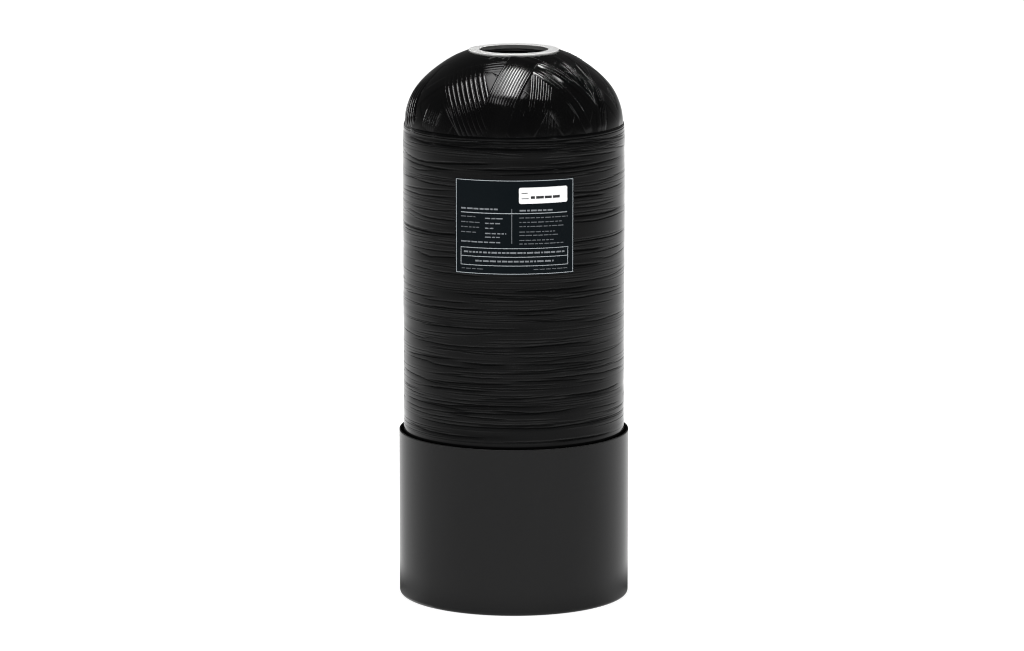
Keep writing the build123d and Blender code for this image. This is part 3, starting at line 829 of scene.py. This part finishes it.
# ---- liner with its real thread ------------------------------------------
def inset(points, t_start, t_end):
    run = [0.0]
    for a, b in zip(points, points[1:]):
        run.append(run[-1] + math.hypot(b[0] - a[0], b[1] - a[1]))
    out = []
    for i, (r, z) in enumerate(points):
        t = t_start + (t_end - t_start) * run[i] / run[-1]
        p = points[max(i - 1, 0)]
        q = points[min(i + 1, len(points) - 1)]
        dr, dz = q[0] - p[0], q[1] - p[1]
        n = math.hypot(dr, dz)
        if i == 0:
            out.append((r - t, z))
        elif r < 0.01:
            out.append((0.0, z + t))
        else:
            side = 1.0 if dz > 0 else -1.0
            out.append((r - side * t * dz / n, z + side * t * dr / n))
    return out


def hold_radius(points, radius):
    (r0, z0), (r1, z1) = points[-2], points[-1]
    k = (radius - r0) / (r1 - r0)
    return points[:-1] + [(radius, z0 + k * (z1 - z0))]


liner_top = hold_radius(inset(top_outer, 1.6, 3.6), 36.8)
liner_bottom = inset(bottom_outer, 1.6, 2.2)
cavity_top = [p for p in inset(liner_top, 3.0, 3.6) if p[0] > 31.6 + 7.0]
cavity_bottom = inset(liner_bottom, 3.0, 3.0)

NECK_TOP, SLEEVE_BOTTOM, MINOR, MAJOR, PITCH = 446.9, 419.9, 25.394, 26.873, 2.309
lcols = 120
langles = np.linspace(-math.pi, math.pi, lcols, endpoint=False)
outer_line = natural_spline(liner_bottom, (0, -1), (-1, 0), 40)[::-1]          # pole up to heel
top_line = natural_spline(liner_top, (0, 1), unit((-0.94, 0.34)), 48)
cav_line = natural_spline(cavity_top, (0, 1), unit((-0.90, 0.44)), 40)[::-1]   # neck down to shoulder
cav_low = natural_spline(cavity_bottom, (0, -1), (-1, 0), 40)                  # heel to pole
sec_a = [tuple(p) for p in outer_line[1:]] + [(87.7, 150.0), (87.7, 250.0), (87.7, 330.0)] + [tuple(p) for p in top_line]
sec_a += [(36.8, 446.0), (36.8, 446.6), (36.5, NECK_TOP), (33.0, NECK_TOP), (28.6, NECK_TOP)]
rows_r = [np.full(lcols, p[0]) for p in sec_a]
rows_z = [np.full(lcols, p[1]) for p in sec_a]


def thread_radius(z, ang):
    """Rounded 55 degree form, right-handed, fading into the lead-in chamfer
    and out at the last turn."""
    ph = ((z - SLEEVE_BOTTOM) / PITCH - ang / (2 * math.pi)) % 1.0
    tri = 1 - np.abs(2 * ph - 1)
    form = np.clip((tri - 0.5) * 1.5 + 0.5, 0, 1)
    form = form * form * (3 - 2 * form)
    r = MINOR + (MAJOR - MINOR) * form
    fade = smooth(SLEEVE_BOTTOM + 0.3, SLEEVE_BOTTOM + 2.2, z)
    r = MINOR + (r - MINOR) * fade
    chamfer = np.clip(MINOR + 1.6 - (NECK_TOP - z), MINOR, None)
    return np.maximum(r, chamfer)


for z in np.linspace(NECK_TOP, SLEEVE_BOTTOM, 190):
    rows_r.append(thread_radius(np.full(lcols, z), langles))
    rows_z.append(np.full(lcols, z))
sec_b = [(27.2, SLEEVE_BOTTOM - 0.15), (31.0, SLEEVE_BOTTOM - 0.05), (31.6, SLEEVE_BOTTOM + 0.5), (31.6, 428.0), (31.6, cavity_top[-1][1] - 1.5)]
sec_b += [tuple(p) for p in cav_line] + [(84.7, 330.0), (84.7, 250.0), (84.7, 150.0)] + [tuple(p) for p in cav_low[:-1]]
rows_r += [np.full(lcols, p[0]) for p in sec_b]
rows_z += [np.full(lcols, p[1]) for p in sec_b]
rr, zz = np.array(rows_r), np.array(rows_z)
verts, faces = ring_grid(rr, zz, langles, False)
n = len(verts)
verts = np.vstack([verts, [[0, 0, liner_bottom[-1][1]]], [[0, 0, cavity_bottom[-1][1]]]])
for j in range(lcols):
    k = (j + 1) % lcols
    faces.append((n, k, j))
    a = (rr.shape[0] - 1) * lcols
    faces.append((n + 1, a + j, a + k))
liner_obj = mesh_piece("liner_threaded", verts, faces, mat_liner, replaces=("liner",))

# ---- print on the label --------------------------------------------------
LABEL_R = 90.75


def patch(arc0, arc1, z0, z1, base_r, height=0.03, turn=0.0, about=(0.0, 0.0)):
    """A thin raised field on the curved label, closed all round."""
    cols = max(2, int(abs(arc1 - arc0) / 1.6) + 2)
    arcs = np.linspace(arc0, arc1, cols)
    pts = []
    for rad in (base_r - 0.02, base_r + height):
        for z in (z0, z1):
            for a in arcs:
                ca, cz = a - about[0], z - about[1]
                aa = about[0] + ca * math.cos(turn) - cz * math.sin(turn)
                zz_ = about[1] + ca * math.sin(turn) + cz * math.cos(turn)
                f = aa / base_r
                pts.append((rad * math.sin(f), -rad * math.cos(f), zz_))
    c = cols
    fs = []
    for j in range(c - 1):
        lo0, lo1, hi0, hi1 = j, c + j, 2 * c + j, 3 * c + j
        fs.append((hi0, hi0 + 1, hi1 + 1, hi1))
        fs.append((lo0, lo1, lo1 + 1, lo0 + 1))
        fs.append((lo0, lo0 + 1, hi0 + 1, hi0))
        fs.append((lo1, hi1, hi1 + 1, lo1 + 1))
    fs.append((0, 2 * c, 3 * c, c))
    fs.append((c - 1, 2 * c - 1, 4 * c - 1, 3 * c - 1))
    return np.array(pts), fs


def gather(parts):
    vs, fs, n = [], [], 0
    for v, f in parts:
        vs.append(v)
        fs.extend(tuple(i + n for i in face) for face in f)
        n += len(v)
    return np.vstack(vs), fs


def frame_lines(a0, a1, z0, z1, w):
    return [patch(a0, a1, z0, z0 + w, LABEL_R), patch(a0, a1, z1 - w, z1, LABEL_R),
            patch(a0, a0 + w, z0 + w + 0.01, z1 - w - 0.01, LABEL_R), patch(a1 - w, a1, z0 + w + 0.01, z1 - w - 0.01, LABEL_R)]


lines = frame_lines(-48.65, 49.95, 280.65, 356.65, 0.5)
lines.append(patch(-44.1, 44.3, 329.7, 330.3, LABEL_R))
lines += frame_lines(-44.4, 45.3, 287.25, 301.85, 0.5)
lines.append(patch(-43.9, 44.8, 294.4, 294.9, LABEL_R))
v, f = gather(lines)
mesh_piece("label_border", v, f, mat_print, shade=False)

dim = []
dim.append(patch(-2.1, -1.4, 305.7, 329.6, LABEL_R))
dim.append(patch(-2.1, -1.4, 330.4, 333.8, LABEL_R))


def word_row(z, arc0, arc1, h=1.5, seed_=0):
    """A row of plain printed bars."""
    g = np.random.default_rng(seed_)
    out, a = [], arc0
    while a < arc1 - 0.9:
        w = min(g.uniform(1.6, 5.2), arc1 - a)
        out.append(patch(a, a + w, z - h / 2, z + h / 2, LABEL_R))
        a += w + g.uniform(0.7, 1.1)
    return out


words, bright = [], []
# height, left and right along the arc, bar height, and whether it is bold
rows = [
    (333.3, -44.0, -13.0, 1.25, 1), (332.4, 4.6, 33.5, 1.25, 1),
    (326.7, -44.0, -31.5, 0.75, 0), (322.2, -44.0, -28.0, 0.75, 0), (318.2, -44.0, -28.5, 0.75, 0), (314.1, -44.0, -31.0, 0.75, 0),
    (306.4, -44.0, -11.0, 1.0, 1),
    (325.8, -23.4, -8.6, 0.95, 1), (321.8, -23.4, -10.8, 0.95, 1), (317.8, -23.4, -15.0, 0.95, 1), (313.6, -23.4, -6.2, 0.95, 1), (310.6, -23.4, -11.5, 0.85, 1),
    (326.5, 4.4, 45.0, 0.7, 0), (322.9, 4.4, 39.5, 0.7, 0), (319.5, 4.4, 42.5, 0.7, 0), (315.1, 4.4, 35.0, 0.7, 0), (312.3, 4.4, 36.5, 0.7, 0), (308.3, 4.4, 32.5, 0.7, 0), (305.4, 4.4, 41.0, 0.7, 0),
    (298.1, -41.5, 42.5, 1.3, 1), (291.1, -31.5, 32.5, 1.3, 1),
    (284.5, -43.5, -25.0, 0.6, 0), (284.5, 16.0, 44.5, 0.6, 0),
]
for k, (z, a0, a1, h, bold) in enumerate(rows):
    (bright if bold else words).extend(word_row(z, a0, a1, h, 40 + k))
v, f = gather(dim + words)
mesh_piece("label_print", v, f, mat_print_dim, shade=False)
v, f = gather(bright)
mesh_piece("label_print_bold", v, f, mat_print_mid, shade=False)

# ---- print on the sticker: plain dark bars -------------------------------
mid_arc, mid_z, turn = 24.27, 344.55, math.radians(0.5)
STICK_R = 90.9
ink = []
for a0, a1 in ((13.6, 16.9), (17.9, 24.2), (25.1, 30.9), (31.9, 37.8)):
    ink.append(patch(a0, a1, 341.9, 344.0, STICK_R, 0.02, turn, (mid_arc, mid_z)))
ink.append(patch(6.2, 11.0, 346.3, 346.9, STICK_R, 0.02, turn, (mid_arc, mid_z)))
ink.append(patch(6.2, 11.8, 341.9, 342.5, STICK_R, 0.02, turn, (mid_arc, mid_z)))
v, f = gather(ink)
mesh_piece("sticker_print", v, f, mat_ink, shade=False)

# ---- floor, light, camera ------------------------------------------------
scene = bpy.context.scene
bpy.ops.mesh.primitive_plane_add(size=60.0, location=(0, 0, 0))
floor = bpy.context.object
floor.name = "floor"
mat, nt, b = new_material("floor_white")
b.inputs["Base Color"].default_value = (0.30, 0.30, 0.30, 1)
b.inputs["Roughness"].default_value = 0.9
b.inputs["Specular IOR Level"].default_value = 0.0
b.inputs["Emission Color"].default_value = (1, 1, 1, 1)
tcf = node(nt, "ShaderNodeTexCoord")
length = node(nt, "ShaderNodeVectorMath", operation="LENGTH")
nt.links.new(tcf.outputs["Object"], length.inputs[0])
nt.links.new(ramp(nt, length.outputs["Value"], 0.10, 0.60, 0.90, 1.06), b.inputs["Emission Strength"])
floor.data.materials.append(mat)
floor.visible_glossy = False


# The black plastic mirrors the dark patch that the tank's own foot throws on
# the floor: a disc that only reflections see, clear outside that patch.
bpy.ops.mesh.primitive_circle_add(vertices=96, radius=0.5, fill_type="NGON", location=(0, 0, 0.0004))
shade_disc = bpy.context.object
shade_disc.name = "foot_shade"
mat, nt, b = new_material("foot_shade")
tcs = node(nt, "ShaderNodeTexCoord")
ln = node(nt, "ShaderNodeVectorMath", operation="LENGTH")
nt.links.new(tcs.outputs["Object"], ln.inputs[0])
sp = node(nt, "ShaderNodeSeparateXYZ")
nt.links.new(tcs.outputs["Object"], sp.inputs[0])
soft = node(nt, "ShaderNodeMapRange", interpolation_type="SMOOTHSTEP")
for key, value in (("From Min", 0.095), ("From Max", 0.178), ("To Min", 0.9), ("To Max", 0.0)):
    soft.inputs[key].default_value = value
nt.links.new(ln.outputs["Value"], soft.inputs["Value"])
less = node(nt, "ShaderNodeMath", operation="MULTIPLY")
nt.links.new(soft.outputs["Result"], less.inputs[0])
nt.links.new(ramp(nt, sp.outputs["Y"], -0.035, 0.010, 0.42, 1.0), less.inputs[1])
nt.links.new(less.outputs[0], b.inputs["Alpha"])
b.inputs["Base Color"].default_value = (0.01, 0.01, 0.01, 1)
b.inputs["Roughness"].default_value = 1.0
b.inputs["Specular IOR Level"].default_value = 0.0
shade_disc.data.materials.append(mat)
shade_disc.visible_camera = False
shade_disc.visible_diffuse = False
shade_disc.visible_shadow = False


def area(name, loc, aim, size, watts, glossy, size_y=None, along=None, diffuse=True):
    """An area light at loc facing aim. along: the direction of its long side."""
    data = bpy.data.lights.new(name, "AREA")
    data.shape = "DISK" if size_y is None else "RECTANGLE"
    data.size = size
    if size_y is not None:
        data.size_y = size_y
    data.energy = watts
    obj = bpy.data.objects.new(name, data)
    scene.collection.objects.link(obj)
    obj.location = loc
    d = np.array(aim, float) - np.array(loc, float)
    from mathutils import Matrix, Vector
    obj.rotation_euler = Vector(d).to_track_quat("-Z", "Y").to_euler()
    if along is not None:
        back = -d / np.linalg.norm(d)
        long = np.array(along, float)
        long = long - back * float(long @ back)
        long /= np.linalg.norm(long)
        over = np.cross(back, long)
        obj.rotation_euler = Matrix([[long[i], over[i], back[i]] for i in range(3)]).to_euler()
    obj.visible_glossy = glossy
    obj.visible_diffuse = diffuse
    obj.visible_camera = False
    return obj


area("top_softbox", (-0.155, -0.13, 2.22), (-0.155, -0.129, 0.42), 0.85, 11.4, True, 1.26)
area("top_core", (-0.02, -0.12, 2.18), (-0.02, -0.119, 0.42), 1.25, 11.0, True, 0.12, along=(0.17, 1.0, 0.0), diffuse=False)
area("top_left", (-0.54, -1.12, 2.16), (-0.54, -1.119, 0.42), 0.16, 1.4, True, 0.60, diffuse=False)
area("top_fill", (0.0, -0.1, 2.30), (0, 0, 0.42), 1.0, 25.4, False)
# long thin lights that draw the tows on the right and far left of the dome
area("tow_light_upper", (1.17, 1.15, 2.92), (0.033, -0.052, 0.425), 0.75, 3.0, True, 0.12, along=(0.28, -0.30, 0.03), diffuse=False)
area("tow_light_right", (1.40, 1.88, 2.28), (0.049, -0.039, 0.424), 0.80, 1.6, True, 0.14, along=(0.27, -0.18, -0.01), diffuse=False)
area("tow_light_edge", (2.17, 1.73, 1.64), (0.069, -0.041, 0.407), 0.90, 2.4, True, 0.12, along=(0.36, -0.29, -0.19), diffuse=False)
area("low_light_right", (2.0, -2.1, 1.55), (0.031, -0.08, 0.385), 1.50, 1.5, True, 0.12, along=(0.0, 0.0, 1.0), diffuse=False)
area("low_light_left", (-2.85, 0.10, 0.98), (-0.06, -0.06, 0.388), 0.80, 0.8, True, 0.12, along=(0.0, 0.0, 1.0), diffuse=False)
area("tow_light_left", (-1.97, 2.28, 0.60), (-0.0815, -0.0289, 0.395), 1.00, 3.0, True, 0.12, along=(-0.35, -0.26, -0.10), diffuse=False)
area("front_fill_left", (-1.15, -1.6, 0.215), (0, 0, 0.215), 1.6, 12.0, False, 0.40)
area("front_fill_right", (1.15, -1.6, 0.215), (0, 0, 0.215), 1.6, 12.0, False, 0.40)

world = bpy.data.worlds.new("studio")
scene.world = world
world.use_nodes = True
wt = world.node_tree
bg = wt.nodes["Background"]
tc = node(wt, "ShaderNodeTexCoord")
sep = node(wt, "ShaderNodeSeparateXYZ")
wt.links.new(tc.outputs["Generated"], sep.inputs[0])
# round the horizon: dim in front, brighter at the sides and behind
hor = node(wt, "ShaderNodeValToRGB")
el = hor.color_ramp.elements
el[0].position, el[0].color = 0.0, (0.27, 0.27, 0.27, 1)
el[1].position, el[1].color = 1.0, (0.92, 0.92, 0.92, 1)
for p, c in ((0.25, 0.29), (0.5, 0.36), (0.72, 0.54), (0.86, 0.66), (0.95, 0.82)):
    e = el.new(p)
    e.color = (c, c, c, 1)
wt.links.new(ramp(wt, sep.outputs["Y"], -1.0, 1.0, 0.0, 1.0), hor.inputs[0])
# with height: white floor below, a dark ceiling above
ver = node(wt, "ShaderNodeValToRGB")
el = ver.color_ramp.elements
el[0].position, el[0].color = 0.0, (1.9, 1.9, 1.9, 1)
el[1].position, el[1].color = 1.0, (0.0, 0.0, 0.0, 1)
for p, c in ((0.20, 1.7), (0.34, 1.15), (0.41, 1.0), (0.436, 0.92), (0.458, 0.48), (0.485, 0.22), (0.50, 0.14), (0.52, 0.09), (0.55, 0.06), (0.60, 0.03), (0.70, 0.01)):
    e = el.new(p)
    e.color = (c, c, c, 1)
wt.links.new(ramp(wt, sep.outputs["Z"], -1.0, 1.0, 0.0, 1.0), ver.inputs[0])
mul = node(wt, "ShaderNodeMix", data_type="RGBA", blend_type="MULTIPLY")
mul.inputs[0].default_value = 1.0
wt.links.new(hor.outputs["Color"], mul.inputs[6])
wt.links.new(ver.outputs["Color"], mul.inputs[7])
low = node(wt, "ShaderNodeMix", data_type="RGBA", blend_type="ADD")
low.inputs[0].default_value = 1.0
low.inputs[7].default_value = (0.045, 0.045, 0.045, 1)
wt.links.new(mul.outputs[2], low.inputs[6])
wt.links.new(low.outputs[2], bg.inputs["Color"])
bg.inputs["Strength"].default_value = 1.0

scene.view_settings.view_transform = "Standard"
scene.view_settings.look = "None"
scene.cycles.filter_width = 1.1

elev = math.radians(10.324)
dist = 4.486
cam_data = bpy.data.cameras.new("camera")
cam_data.sensor_width = 36.0
cam_data.sensor_fit = "HORIZONTAL"
cam_data.lens = 36.0 * 5473.5 / 1024.0
cam_data.clip_start = 0.05
cam_data.clip_end = 200.0
cam = bpy.data.objects.new("camera", cam_data)
scene.collection.objects.link(cam)
cam.location = (-0.001525, -dist * math.cos(elev), 0.2226 + dist * math.sin(elev))
cam.rotation_euler = (math.radians(90) - elev, 0, 0)
scene.camera = cam
